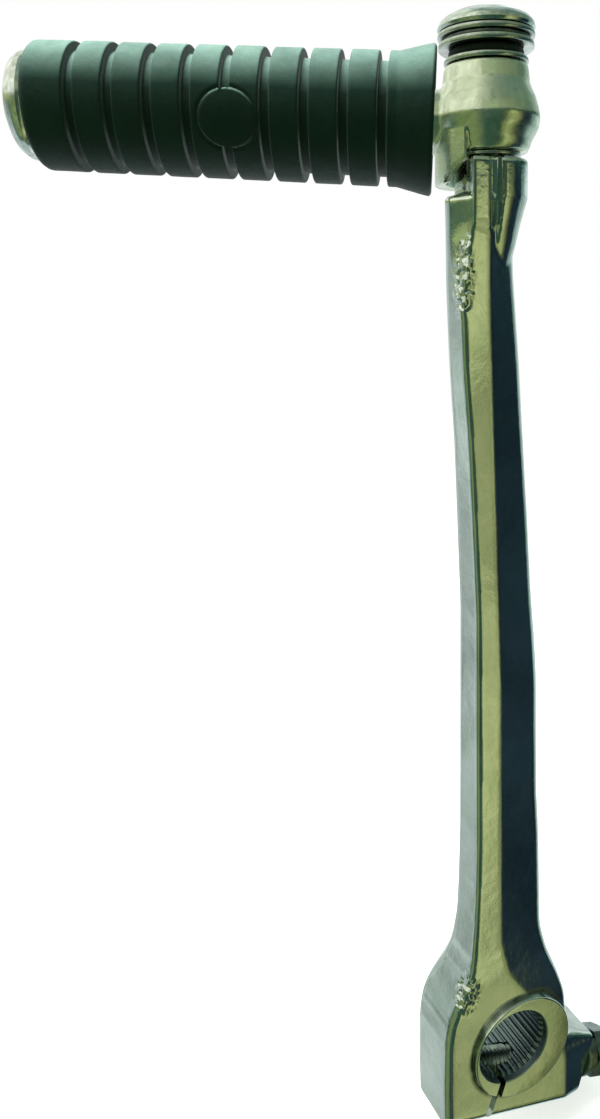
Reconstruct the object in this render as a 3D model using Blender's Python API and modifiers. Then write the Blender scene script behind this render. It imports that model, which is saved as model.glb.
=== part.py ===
"""Folding kick lever: forged arm with a split splined hub and a folding pedal on an upright pivot pin.

Frame: metres. The splined bore runs along Y through the origin, the arm rises along +Z and the
pedal points to -X and a little to +Y in its folded position. Dimensions are in millimetres and
are turned into metres where a mesh or a curve is made.
"""

import math

import bmesh
import bpy
import numpy as np
from mathutils import Matrix, Vector

MM = 0.001

# Hub
BORE_MINOR = 9.25
BORE_MAJOR = 10.0
BORE_TEETH = 36
BORE_LEAD = 10.65
HUB_FRONT = -9.8
HUB_BACK = 7.5
HUB_TOP = 27.0
HUB_FLOOR = -22.9
FRONT_ROUND = 5.5
ARM_TOP = 203.8
COLLAR_FRONT = -11.2
COLLAR_R = 14.2
COLLAR_DEEP = 10.3
COLLAR_AT = (2.9, -1.7)
CLAMP_TILT = math.radians(18.5)
SLOT_W = 1.8

# Pinch bolt
BOLT_Y = -2.6
BOLT_DROP = 11.2
BOLT_R = 4.0
BOLT_START = -10.8
LUG_END = 31.0
HEAD_FLATS = 12.0
HEAD_H = 5.5

# Pivot
PIVOT = (-2.3, 0.6)
PEDAL_Z = 217.6
PIN_R = 4.0
SEAT_Z = 211.0
CORE_R = 6.4
LOCK_Z = 193.0
LOCK_HOLE_R = 1.55

# Pedal
PEDAL_YAW = math.radians(151.8)
PEDAL_RISE = math.radians(3.3)
PEDAL_SWING = math.radians(61.5)
SHAFT_R = 5.8
SHAFT_END = 90.0
RUBBER_START = 11.4
RUBBER_END = 89.8
RUBBER_IN = 6.1
RUBBER_R = 12.45
TAPER = 0.55
GROOVE_R = 10.6
GROOVE_FIRST = 20.4
GROOVE_PITCH = 7.49
GROOVE_HALF = 1.0
DISC_S = 49.8
DISC_R = 5.4
DISC_TURN = math.radians(76.0)

GAP = 0.3
SEGMENTS = 40

LEFT_EDGE = (
    # z, x of the left side of hub and arm
    (-30.0, -18.7), (-8.0, -18.9), (6.0, -18.6), (12.0, -17.6), (17.0, -15.2),
    (22.0, -12.2), (28.0, -10.9), (36.0, -10.2), (46.0, -9.6), (60.0, -9.2), (117.0, -8.9),
    (136.0, -9.6), (154.0, -10.3), (171.0, -11.4), (188.0, -12.1), (212.0, -12.4),
)
RIGHT_EDGE = (
    (-36.0, 22.0), (-30.0, 24.0), (-13.2, 29.0), (-12.0, 29.0), (-8.4, 19.4), (0.0, 19.7), (6.0, 19.2),
    (13.0, 16.9), (20.0, 14.2), (27.0, 12.6), (42.0, 12.2), (54.0, 11.9), (66.0, 11.1), (97.0, 10.6),
    (107.0, 9.9), (117.0, 8.9),
    (136.0, 7.6), (154.0, 6.2), (171.0, 5.0), (188.0, 3.5), (196.0, 3.1), (212.0, 3.1),
)
FRONT_LEFT = (
    # z, x of the front edge on the left; it drifts off the side at the top of the arm
    (-30.0, 0.0), (171.0, 0.0), (184.0, 0.2), (198.0, 2.9), (212.0, 2.9),
)
FRONT_RIDGE = (
    # z, x where the narrow front flat turns into the wide right-hand slope
    (-30.0, 40.0), (-12.0, 40.0), (-7.0, 16.0), (-1.0, 14.0), (8.0, 10.0), (14.0, 4.0), (21.0, -1.0),
    (30.0, -3.0),
    (97.0, -3.1),
    (154.0, -4.6), (184.0, -5.2), (212.0, -5.2),
)
FRONT_Y = (
    (-30.0, -9.8), (20.0, -9.6), (30.0, -9.1), (54.0, -8.7), (97.0, -8.1), (136.0, -7.3), (171.0, -6.4),
    (188.0, -6.0), (212.0, -6.3),
)
SLOPE_Y = (
    # z, depth of the right-hand corner behind the front flat
    (-30.0, 1.2), (-9.0, 1.2), (2.0, 2.4), (10.0, 3.0), (20.0, 3.8), (97.0, 3.9), (188.0, 3.4), (212.0, 3.4),
)
BACK_Y = (
    (-30.0, 7.5), (20.0, 7.3), (30.0, 6.7), (97.0, 6.3), (154.0, 5.8), (188.0, 6.1), (196.0, 6.5),
    (212.0, 7.8),
)
LEFT_REAR_Y = (
    (-30.0, 5.6), (14.0, 5.6), (26.0, 2.5), (36.0, 0.6), (212.0, 0.6),
)

def clear_scene():
    for obj in list(bpy.data.objects):
        bpy.data.objects.remove(obj, do_unlink=True)


def collection(name):
    group = bpy.data.collections.new(name)
    bpy.context.scene.collection.children.link(group)
    return group


def material(name, colour, metallic, roughness):
    mat = bpy.data.materials.new(name)
    mat.use_nodes = True
    node = mat.node_tree.nodes["Principled BSDF"]
    node.inputs["Base Color"].default_value = (*colour, 1.0)
    node.inputs["Metallic"].default_value = metallic
    node.inputs["Roughness"].default_value = roughness
    return mat


def add_mesh(name, mesh, group, mat=None, matrix=None):
    obj = bpy.data.objects.new(name, mesh)
    group.objects.link(obj)
    if mat is not None:
        mesh.materials.append(mat)
    if matrix is not None:
        obj.matrix_world = matrix
    return obj


def add_bmesh(name, bm, group, mat=None, matrix=None):
    mesh = bpy.data.meshes.new(name)
    bm.to_mesh(mesh)
    bm.free()
    return add_mesh(name, mesh, group, mat, matrix)


def turned(name, profile, group, mat=None, matrix=None, segments=SEGMENTS, ring=False):
    """Profile of (radius, height), running down the outer side, turned about Z."""
    mesh = bpy.data.meshes.new(name)
    edges = [(i, i + 1) for i in range(len(profile) - 1)]
    if ring:
        edges.append((len(profile) - 1, 0))
    mesh.from_pydata([(r * MM, 0.0, z * MM) for r, z in profile], edges, [])
    obj = add_mesh(name, mesh, group, mat, matrix)
    screw = obj.modifiers.new("Turn", "SCREW")
    screw.axis = "Z"
    screw.angle = 2.0 * math.pi
    screw.steps = segments
    screw.render_steps = segments
    screw.use_merge_vertices = True
    screw.merge_threshold = 0.00001
    screw.use_smooth_shade = False
    return obj


def cylinder(name, radius, low, high, group, mat=None, matrix=None, segments=32, top_radius=None):
    bm = bmesh.new()
    top = radius if top_radius is None else top_radius
    bmesh.ops.create_cone(bm, cap_ends=True, segments=segments, radius1=radius * MM, radius2=top * MM,
                          depth=(high - low) * MM)
    bmesh.ops.translate(bm, verts=bm.verts, vec=(0.0, 0.0, 0.5 * (low + high) * MM))
    return add_bmesh(name, bm, group, mat, matrix)


def box(name, low, high, group, matrix=None):
    bm = bmesh.new()
    bmesh.ops.create_cube(bm, size=1.0)
    size = [(b - a) * MM for a, b in zip(low, high)]
    centre = [0.5 * (a + b) * MM for a, b in zip(low, high)]
    bmesh.ops.scale(bm, verts=bm.verts, vec=size)
    bmesh.ops.translate(bm, verts=bm.verts, vec=centre)
    return add_bmesh(name, bm, group, None, matrix)


def ball(name, radius, group, mat=None, matrix=None, rings=12):
    bm = bmesh.new()
    bmesh.ops.create_uvsphere(bm, u_segments=20, v_segments=rings, radius=radius * MM)
    return add_bmesh(name, bm, group, mat, matrix)


def flat_outline(name, points, low, high, group, matrix):
    """Filled 2D outline, extruded to a plate between two levels of its own Z, as a mesh."""
    curve = bpy.data.curves.new(name, "CURVE")
    curve.dimensions = "2D"
    curve.fill_mode = "BOTH"
    curve.extrude = 0.5 * (high - low) * MM
    spline = curve.splines.new("POLY")
    spline.points.add(len(points) - 1)
    for point, (x, y) in zip(spline.points, points):
        point.co = (x * MM, y * MM, 0.0, 1.0)
    spline.use_cyclic_u = True
    guide = bpy.data.objects.new(name + "_outline", curve)
    bpy.context.scene.collection.objects.link(guide)
    bpy.context.view_layer.update()
    graph = bpy.context.evaluated_depsgraph_get()
    mesh = bpy.data.meshes.new_from_object(guide.evaluated_get(graph))
    bpy.data.objects.remove(guide, do_unlink=True)
    bm = bmesh.new()
    bm.from_mesh(mesh)
    bmesh.ops.remove_doubles(bm, verts=bm.verts, dist=1e-7)
    bmesh.ops.translate(bm, verts=bm.verts, vec=(0.0, 0.0, 0.5 * (low + high) * MM))
    bm.to_mesh(mesh)
    bm.free()
    return add_mesh(name, mesh, group, None, matrix)


def loft(name, sections, group, mat=None, matrix=None):
    """Skin between unlike rings of equal length, capped at both ends."""
    bm = bmesh.new()
    rings = [[bm.verts.new((x * MM, y * MM, z * MM)) for x, y, z in section] for section in sections]
    count = len(rings[0])
    for low, high in zip(rings, rings[1:]):
        for i in range(count):
            j = (i + 1) % count
            bm.faces.new((low[i], low[j], high[j], high[i]))
    bm.faces.new(list(reversed(rings[0])))
    bm.faces.new(rings[-1])
    bmesh.ops.remove_doubles(bm, verts=bm.verts, dist=1e-7)
    bmesh.ops.recalc_face_normals(bm, faces=bm.faces)
    return add_bmesh(name, bm, group, mat, matrix)


def sector(angle_from, angle_to, r_in, r_out, steps=12):
    """Plan outline of a ring sector about the pivot axis, angles in degrees."""
    angles = [math.radians(angle_from + (angle_to - angle_from) * i / steps) for i in range(steps + 1)]
    outer = [(r_out * math.cos(a), r_out * math.sin(a)) for a in angles]
    inner = [(r_in * math.cos(a), r_in * math.sin(a)) for a in reversed(angles)]
    return outer + inner


def boolean(obj, cutter, operation):
    mod = obj.modifiers.new(operation.title(), "BOOLEAN")
    mod.operation = operation
    mod.solver = "EXACT"
    mod.object = cutter
    cutter.hide_render = True
    cutter.display_type = "WIRE"


def clamp_point(across, up):
    """(x, z) of a point in the tilted frame of the pinch clamp."""
    c, s = math.cos(CLAMP_TILT), math.sin(CLAMP_TILT)
    return across * c + up * s, -across * s + up * c


def clamp_matrix():
    """Local X runs across the clamp, local Z up its slot."""
    return Matrix.Rotation(CLAMP_TILT, 4, "Y")


def bolt_matrix():
    """Local Z runs along the pinch bolt, from the tapped side to the head."""
    x, z = clamp_point(0.0, -BOLT_DROP)
    turn = Matrix.Rotation(math.radians(90.0) + CLAMP_TILT, 4, "Y")
    return Matrix.Translation((x * MM, BOLT_Y * MM, z * MM)) @ turn


def bore_matrix(x=0.0, z=0.0):
    """Local Z runs out of the collared face, along the bore."""
    return Matrix.Translation((x * MM, 0.0, z * MM)) @ Matrix.Rotation(math.radians(90.0), 4, "X")


def pivot_matrix():
    return Matrix.Translation((PIVOT[0] * MM, PIVOT[1] * MM, 0.0))


def cross_matrix(z):
    """Local Z runs to the front, through the pivot axis."""
    place = Matrix.Translation((PIVOT[0] * MM, PIVOT[1] * MM, z * MM))
    return place @ Matrix.Rotation(math.radians(90.0), 4, "X")


def pedal_matrix():
    """Local Z runs out along the pedal shaft from the pivot axis."""
    place = Matrix.Translation((PIVOT[0] * MM, PIVOT[1] * MM, PEDAL_Z * MM))
    yaw = Matrix.Rotation(PEDAL_YAW, 4, "Z")
    return place @ yaw @ Matrix.Rotation(math.radians(90.0) - PEDAL_RISE, 4, "Y")


def smooth_curve(table, span=3.5):
    """Function of z through a table's points, with its corners eased over the span."""
    zs = np.array([p[0] for p in table])
    vs = np.array([p[1] for p in table])
    offsets = np.linspace(-span, span, 15)
    weights = np.cos(offsets / span * math.pi / 2) ** 2
    weights /= weights.sum()
    return lambda z: float(np.dot(np.interp(z + offsets, zs, vs), weights))


def rounded(points, radii, steps=3):
    """Closed plane outline with its corners turned into arcs."""
    made = []
    count = len(points)
    for i in range(count):
        corner = Vector(points[i])
        to_a = Vector(points[i - 1]) - corner
        to_b = Vector(points[(i + 1) % count]) - corner
        room = 0.45 * min(to_a.length, to_b.length)
        to_a.normalize()
        to_b.normalize()
        half = 0.5 * to_a.angle(to_b, math.pi)
        reach = min(radii[i] / math.tan(half), room)
        start, end = corner + to_a * reach, corner + to_b * reach
        weight = math.sin(half)
        for k in range(steps + 1):
            t = k / steps
            u = 1.0 - t
            scale = u * u + 2.0 * u * t * weight + t * t
            made.append(tuple((start * (u * u) + corner * (2.0 * u * t * weight) + end * (t * t)) / scale))
    return made


def lean(x, tilt):
    """Drop of a tilted ring at x; the left end of the hub stays nearly level."""
    return tilt * max(x, -6.0) + 0.2 * tilt * min(x + 6.0, 0.0)


def arm_ring(z_mid, tilt, curves, shrink, front_shrink):
    """Ring of the forging whose plane is tilted with the clamp low down. Corners run anticlockwise."""
    left, right, front_left, ridge, front, slope, back, rear = curves

    def at(curve, x):
        return curve(z_mid - lean(x, tilt))

    x_left, x_right = -10.0, 10.0
    for _ in range(8):
        x_left = at(left, x_left)
        x_right = at(right, x_right)
    hub = min(1.0, max(0.0, (30.0 - z_mid) / 16.0))
    y_front, y_back = at(front, 0.0) + front_shrink, at(back, 0.0) - shrink
    x_left += shrink
    x_right -= shrink
    y_slope = y_front + at(slope, 10.0)
    x_ridge = min(at(ridge, 0.0), x_right - 2.0)
    y_rear = min(at(rear, 0.0), y_back - 1.5)
    back_cut = 5.4 - 3.4 * hub
    corners = [
        ((x_left + at(front_left, x_left), y_front), 0.9 + 0.9 * hub),
        ((x_ridge, y_front - 0.05), 3.0),
        ((x_right, y_slope), 2.6 - 0.8 * hub),
        ((x_right, y_back - 3.6 + 1.8 * hub), 3.0 - hub),
        ((x_right - back_cut, y_back), 3.0 - hub),
        ((x_left + back_cut, y_back), 3.0 - hub),
        ((x_left, y_rear), 3.0 - hub),
    ]
    outline = rounded([c[0] for c in corners], [c[1] for c in corners])
    return [(x, y, z_mid - lean(x, tilt)) for x, y in outline]


def build_arm(parts, cutters, mat):
    tables = (LEFT_EDGE, RIGHT_EDGE, FRONT_LEFT, FRONT_RIDGE, FRONT_Y, SLOPE_Y, BACK_Y, LEFT_REAR_Y)
    curves = [smooth_curve(table) for table in tables]
    levels = [HUB_FLOOR + FRONT_ROUND * (1.0 - math.cos(math.radians(a))) for a in (0, 18, 36, 54, 72, 90)]
    levels += [-13.0, -10.0, -7.0, -4.5, -2.0, 0.5, 3.0, 6.0, 9.0, 12.0, 15.0, 18.0, 21.0, 24.0, 28.0, 32.0]
    levels += [38.0, 46.0, 56.0, 70.0, 86.0, 102.0, 118.0, 136.0, 154.0, 171.0, 181.0, 188.0, 194.0, 199.0]
    levels += [ARM_TOP - 1.0, ARM_TOP - 0.4, ARM_TOP]
    sections = []
    for z in levels:
        above = z - HUB_FLOOR
        shrink, front_shrink = 0.0, 0.0
        if above < 1.6:
            shrink = 1.6 - math.sqrt(1.6 ** 2 - (1.6 - above) ** 2)
        if above < FRONT_ROUND:
            front_shrink = FRONT_ROUND - math.sqrt(FRONT_ROUND ** 2 - (FRONT_ROUND - above) ** 2)
        if z > ARM_TOP - 1.0:
            shrink = z - ARM_TOP + 1.0
            front_shrink = shrink
        share = min(1.0, max(0.0, (HUB_TOP - z) / (HUB_TOP - HUB_FLOOR - 12.0)))
        tilt = math.tan(CLAMP_TILT) * share
        sections.append(arm_ring(z, tilt, curves, min(shrink, 1.5), min(front_shrink, 5.3)))
    arm = loft("lever_arm", sections, parts, mat)

    deep = -COLLAR_FRONT - COLLAR_DEEP
    rim = [(0.0, -COLLAR_FRONT), (COLLAR_R - 0.5, -COLLAR_FRONT), (COLLAR_R, -COLLAR_FRONT - 0.5),
           (COLLAR_R, deep), (0.0, deep)]
    boolean(arm, turned("hub_collar", rim, cutters, None, bore_matrix(*COLLAR_AT), 48), "UNION")
    boolean(arm, cylinder("pivot_seat", CORE_R, 196.0, SEAT_Z, cutters, None, pivot_matrix(), SEGMENTS),
            "UNION")

    sections = []
    for z, inset in ((190.0, 2.5), (194.0, 1.0), (199.0, 0.0), (210.2, 0.0), (210.65, 0.45)):
        sections.append([(-9.5 + inset * 0.3, -6.5 + inset, z), (-5.3, -6.7 + inset, z), (-4.9, -3.0, z),
                         (-7.5, 0.0, z)])
    boolean(arm, loft("stop_rib", sections, cutters), "UNION")
    sections = []
    for z, r_out in ((190.5, 5.2), (194.0, 6.2), (198.0, 7.1), (201.2, 8.0), (203.2, 8.6), (210.2, 8.6),
                     (210.65, 8.1)):
        sections.append([(x, y, z) for x, y in sector(262.0, 374.0, 3.0, r_out)])
    boolean(arm, loft("stop_ear", sections, cutters, None, pivot_matrix()), "UNION")

    notch = sector(245.0, 264.5, 6.5, 14.0, 4)
    boolean(arm, flat_outline("stop_notch", notch, 202.5, 215.0, cutters, pivot_matrix()), "DIFFERENCE")
    boolean(arm, cylinder("pin_hole", PIN_R + GAP, 187.7, 220.0, cutters, None, pivot_matrix()), "DIFFERENCE")
    boolean(arm, cylinder("lock_pin_hole", LOCK_HOLE_R, -20.0, 4.9, cutters, None, cross_matrix(LOCK_Z), 16),
            "DIFFERENCE")

    teeth = []
    for i in range(2 * BORE_TEETH):
        radius = BORE_MAJOR if i % 2 else BORE_MINOR
        angle = math.pi * i / BORE_TEETH
        teeth.append((radius * math.cos(angle), radius * math.sin(angle)))
    boolean(arm, flat_outline("spline_cutter", teeth, -HUB_BACK - 2.0, -COLLAR_FRONT + 2.0, cutters,
                              bore_matrix()), "DIFFERENCE")
    lead = [(0.0, -COLLAR_FRONT + 2.0), (BORE_LEAD, -COLLAR_FRONT + 2.0), (BORE_LEAD, -COLLAR_FRONT - 0.3),
            (BORE_MAJOR + 0.25, -HUB_FRONT - 0.45), (0.0, -HUB_FRONT - 0.45)]
    boolean(arm, turned("lead_in", lead, cutters, None, bore_matrix(), 48), "DIFFERENCE")

    half = SLOT_W / 2.0
    boolean(arm, box("clamp_slot", (-half, -16.0, -34.0), (half, 14.0, -4.0), cutters, clamp_matrix()),
            "DIFFERENCE")
    boolean(arm, cylinder("bolt_hole", BOLT_R + GAP, -11.2, 50.0, cutters, None, bolt_matrix(), 24),
            "DIFFERENCE")
    boolean(arm, cylinder("lug_face", 15.0, LUG_END, 50.0, cutters, None, bolt_matrix()), "DIFFERENCE")
    return arm


def build_knuckle(parts, cutters, mat):
    barrel = [(0.0, 228.0), (8.0, 228.0), (8.35, 227.6), (8.75, 224.7), (9.1, 223.9), (10.0, 222.0),
              (10.5, 220.6), (10.8, 219.2), (10.8, 217.8), (10.5, 216.4), (9.3, 214.0), (8.9, 212.8),
              (8.3, 211.9), (0.0, 211.9)]
    knuckle = turned("pedal_knuckle", barrel, parts, mat, pivot_matrix())

    sections = []
    start, stop, steps = 84.6, 217.0, 18
    for i in range(steps + 1):
        degrees = start + (stop - start) * i / steps
        low = 205.9 + 4.2 * max(0.0, (degrees - 180.0) / (stop - 180.0))
        c, s = math.cos(math.radians(degrees)), math.sin(math.radians(degrees))
        sections.append([(r * c, r * s, z) for r, z in ((8.1, low + 0.5), (8.1, 215.0), (10.4, 217.0),
                                                        (10.4, low))])
    boolean(knuckle, loft("knuckle_skirt", sections, cutters, None, pivot_matrix()), "UNION")

    shaft = [(0.0, SHAFT_END), (SHAFT_R - 0.5, SHAFT_END), (SHAFT_R, SHAFT_END - 0.5), (SHAFT_R, 3.0),
             (0.0, 3.0)]
    boolean(knuckle, turned("pedal_shaft", shaft, cutters, None, pedal_matrix(), 32), "UNION")
    boolean(knuckle, cylinder("knuckle_bore", PIN_R + GAP, 205.0, 235.0, cutters, None, pivot_matrix()),
            "DIFFERENCE")
    pocket = [(0.0, 20.6), (1.95, 20.0), (1.95, 0.0), (0.0, 0.0)]
    boolean(knuckle, turned("detent_pocket", pocket, cutters, None, pedal_matrix(), 20), "DIFFERENCE")
    return knuckle


def build_pin(parts, cutters, mat):
    profile = [(0.0, 238.7), (2.4, 238.5), (4.8, 237.9), (7.0, 237.1), (8.7, 236.2), (9.5, 235.4),
               (9.65, 234.6), (9.45, 234.0), (PIN_R, 234.0), (PIN_R, 188.6), (PIN_R - 0.5, 188.0), (0.0, 188.0)]
    pin = turned("pivot_pin", profile, parts, mat, pivot_matrix())
    boolean(pin, cylinder("pin_cross_hole", LOCK_HOLE_R, -8.0, 8.0, cutters, None, cross_matrix(LOCK_Z), 16),
            "DIFFERENCE")
    for index, turn in enumerate((0.0, -PEDAL_SWING)):
        spot = Matrix.Translation((PIVOT[0] * MM, PIVOT[1] * MM, PEDAL_Z * MM))
        spot = spot @ Matrix.Rotation(PEDAL_YAW + turn, 4, "Z")
        spot = spot @ Matrix.Translation(((PIN_R + 0.9) * MM, 0.0, 0.3 * MM))
        boolean(pin, ball("dimple_%d" % index, 1.75, cutters, None, spot), "DIFFERENCE")
    return pin


def flat_ring(name, parts, mat, inner, outer, low, high, matrix, edge=0.15):
    """Washer with its outer edges broken."""
    profile = [(inner, high), (outer - edge, high), (outer, high - edge), (outer, low + edge),
               (outer - edge, low), (inner, low)]
    return turned(name, profile, parts, mat, matrix, ring=True)


def build_rubber(parts, cutters, mat):
    def outside(s):
        return RUBBER_R - TAPER * max(0.0, s - 16.0) / 74.0

    profile = [(RUBBER_IN, RUBBER_END), (outside(RUBBER_END) - 1.2, RUBBER_END),
               (outside(RUBBER_END), RUBBER_END - 1.2)]
    for i in reversed(range(9)):
        at = GROOVE_FIRST + GROOVE_PITCH * i
        deep = outside(at) - RUBBER_R + GROOVE_R
        profile += [(outside(at), at + GROOVE_HALF), (deep, at + 0.9 * GROOVE_HALF),
                    (deep, at - 0.9 * GROOVE_HALF), (outside(at), at - GROOVE_HALF)]
    profile += [(RUBBER_R, RUBBER_START + 6.2), (13.5, RUBBER_START + 1.4), (13.9, RUBBER_START - 0.6),
                (13.2, RUBBER_START - 1.0), (RUBBER_IN, RUBBER_START)]
    rubber = turned("pedal_rubber", profile, parts, mat, pedal_matrix(), ring=True)
    across = pedal_matrix() @ Matrix.Translation((0.0, 0.0, DISC_S * MM)) @ Matrix.Rotation(DISC_TURN, 4, "Z")
    disc = cylinder("plain_disc", DISC_R, 8.4, 14.0, cutters, None,
                    across @ Matrix.Rotation(math.radians(90.0), 4, "Y"))
    around = cylinder("disc_limit", RUBBER_R - 0.15, DISC_S - 9.0, DISC_S + 9.0, cutters, None,
                      pedal_matrix(), 64)
    boolean(disc, around, "INTERSECT")
    boolean(rubber, disc, "UNION")
    return rubber


def build_spring(parts, mat):
    curve = bpy.data.curves.new("detent_coil", "CURVE")
    curve.dimensions = "3D"
    curve.bevel_depth = 0.28 * MM
    curve.bevel_resolution = 2
    curve.use_fill_caps = True
    spline = curve.splines.new("POLY")
    turns, per_turn = 7, 12
    count = turns * per_turn + 1
    spline.points.add(count - 1)
    for i in range(count):
        angle = 2.0 * math.pi * i / per_turn
        z = (7.8 + 11.6 * i / (count - 1)) * MM
        spline.points[i].co = (1.35 * MM * math.cos(angle), 1.35 * MM * math.sin(angle), z, 1.0)
    obj = bpy.data.objects.new("detent_spring", curve)
    parts.objects.link(obj)
    obj.matrix_world = pedal_matrix()
    curve.materials.append(mat)
    return obj


def build_bolt(parts, cutters, mats):
    at = bolt_matrix()
    seat = LUG_END + 3.6
    shank = [(0.0, seat + 0.2), (BOLT_R, seat + 0.2), (BOLT_R, BOLT_START + 0.8), (BOLT_R - 0.7, BOLT_START),
             (0.0, BOLT_START)]
    bolt = turned("pinch_bolt", shank, parts, mats["bolt"], at, 24)
    turn = Matrix.Rotation(math.radians(12.0), 4, "Z")
    head = cylinder("bolt_head", HEAD_FLATS / math.sqrt(3.0), seat, seat + HEAD_H, cutters, None,
                    at @ turn, 6)
    crown = [(0.0, seat + HEAD_H), (5.8, seat + HEAD_H), (7.6, seat + HEAD_H - 1.1), (7.6, seat - 0.6),
             (0.0, seat - 0.6)]
    boolean(head, turned("head_chamfer", crown, cutters, None, at, 36), "INTERSECT")
    boolean(bolt, head, "UNION")
    low = LUG_END + 0.15
    flat_ring("pinch_flat_washer", parts, mats["steel"], 4.3, 6.5, low, low + 1.5, at)
    low = LUG_END + 1.8
    spring = flat_ring("pinch_spring_washer", parts, mats["steel"], 4.35, 6.2, low, low + 1.65, at)
    gap = [(0.0, low - 1.0), (9.0, low - 1.0), (9.6, low + 2.6), (0.6, low + 2.6)]
    cut = at @ Matrix.Rotation(math.radians(200.0), 4, "Z") @ Matrix.Rotation(math.radians(90.0), 4, "X")
    boolean(spring, flat_outline("washer_split", gap, -0.5, 0.5, cutters, cut), "DIFFERENCE")


def build():
    clear_scene()
    parts = collection("folding_kick_lever")
    cutters = collection("cutters")
    chrome = material("chrome_forging", (0.55, 0.57, 0.55), 1.0, 0.12)
    chrome_pedal = material("chrome_pedal", (0.57, 0.59, 0.56), 1.0, 0.12)
    chrome_pin = material("chrome_pin", (0.58, 0.6, 0.58), 1.0, 0.1)
    chrome_cap = material("chrome_cap", (0.6, 0.61, 0.6), 1.0, 0.15)
    rubber = material("black_rubber", (0.02, 0.028, 0.025), 0.0, 0.6)
    seal = material("seal_rubber", (0.015, 0.02, 0.018), 0.0, 0.5)
    steel = material("zinc_steel", (0.45, 0.47, 0.46), 1.0, 0.3)
    bolt_steel = material("bolt_steel", (0.3, 0.33, 0.32), 1.0, 0.3)
    spring_steel = material("spring_steel", (0.35, 0.36, 0.36), 1.0, 0.3)
    ball_steel = material("ball_steel", (0.6, 0.6, 0.6), 1.0, 0.1)
    pin_steel = material("lock_pin_steel", (0.3, 0.3, 0.3), 1.0, 0.35)
    thrust_steel = material("thrust_washer_steel", (0.4, 0.4, 0.38), 1.0, 0.3)

    build_arm(parts, cutters, chrome)
    build_knuckle(parts, cutters, chrome_pedal)
    build_pin(parts, cutters, chrome_pin)
    build_rubber(parts, cutters, rubber)

    cap = [(0.0, 95.85), (3.0, 95.7), (6.2, 95.0), (8.8, 93.6), (9.9, 92.2), (10.1, 90.8), (9.8, 90.1),
           (0.0, 90.1)]
    turned("pedal_end_cap", cap, parts, chrome_cap, pedal_matrix())

    at = pivot_matrix()
    flat_ring("lower_washer", parts, thrust_steel, 4.3, 7.1, 211.15, 211.75, at)
    flat_ring("upper_washer", parts, steel, 4.3, 8.4, 228.2, 229.2, at)
    flat_ring("dust_seal", parts, seal, 4.3, 7.5, 229.35, 230.75, at, 0.4)
    flat_ring("cup_washer", parts, steel, 4.3, 9.5, 230.9, 232.0, at)
    flat_ring("retaining_ring", parts, spring_steel, 4.3, 8.8, 232.15, 232.65, at, 0.05)
    flat_ring("cap_washer", parts, steel, 4.3, 9.6, 232.8, 233.8, at)

    lock = [(0.0, 4.6), (1.0, 4.6), (1.25, 4.3), (1.25, -5.0), (1.0, -5.3), (0.0, -5.3)]
    turned("pivot_lock_pin", lock, parts, pin_steel, cross_matrix(LOCK_Z), 16)

    spot = pedal_matrix() @ Matrix.Translation((0.0, 0.0, (PIN_R + 1.65) * MM))
    ball("detent_ball", 1.6, parts, ball_steel, spot, 10)
    build_spring(parts, spring_steel)
    build_bolt(parts, cutters, {"bolt": bolt_steel, "steel": steel})


build()
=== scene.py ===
import math

import bmesh
import bpy
import numpy as np
from mathutils import Matrix, Vector, noise


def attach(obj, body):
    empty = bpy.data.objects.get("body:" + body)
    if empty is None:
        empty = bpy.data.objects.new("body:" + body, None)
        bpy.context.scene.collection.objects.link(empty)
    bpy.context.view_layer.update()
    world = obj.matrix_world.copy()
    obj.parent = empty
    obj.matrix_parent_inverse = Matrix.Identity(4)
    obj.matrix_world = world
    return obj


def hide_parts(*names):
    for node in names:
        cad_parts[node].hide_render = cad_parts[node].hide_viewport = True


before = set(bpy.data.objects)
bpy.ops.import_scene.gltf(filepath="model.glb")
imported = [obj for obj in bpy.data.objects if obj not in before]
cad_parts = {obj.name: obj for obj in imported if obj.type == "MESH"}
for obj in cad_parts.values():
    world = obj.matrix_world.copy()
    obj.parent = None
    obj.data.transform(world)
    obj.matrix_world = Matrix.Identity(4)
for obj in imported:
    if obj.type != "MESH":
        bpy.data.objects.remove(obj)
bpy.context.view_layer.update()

MM = 0.001

# Hub, with its bore along Y through the origin
HUB_FRONT = -9.8
HUB_BACK = 7.5
COLLAR_FRONT = -11.2
COLLAR_R = 14.2
COLLAR_AT = (2.9, -1.7)
BORE_MINOR = 9.25
BORE_MAJOR = 10.0
BORE_TEETH = 36
CLAMP_TILT = math.radians(18.5)
SLOT_W = 1.8
HUB_TOP = 27.0
HUB_FLOOR = -22.9
FRONT_ROUND = 4.2

# Pinch bolt
BOLT_Y = -2.6
BOLT_DROP = 11.2
BOLT_R = 4.0
BOLT_START = -10.8
BOLT_THREAD_END = 20.0
BOLT_PITCH = 1.25
HEAD_SEAT = 34.6
HEAD_HEIGHT = 5.5
HEAD_FLATS = 12.0
LUG_END = 31.0

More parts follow.
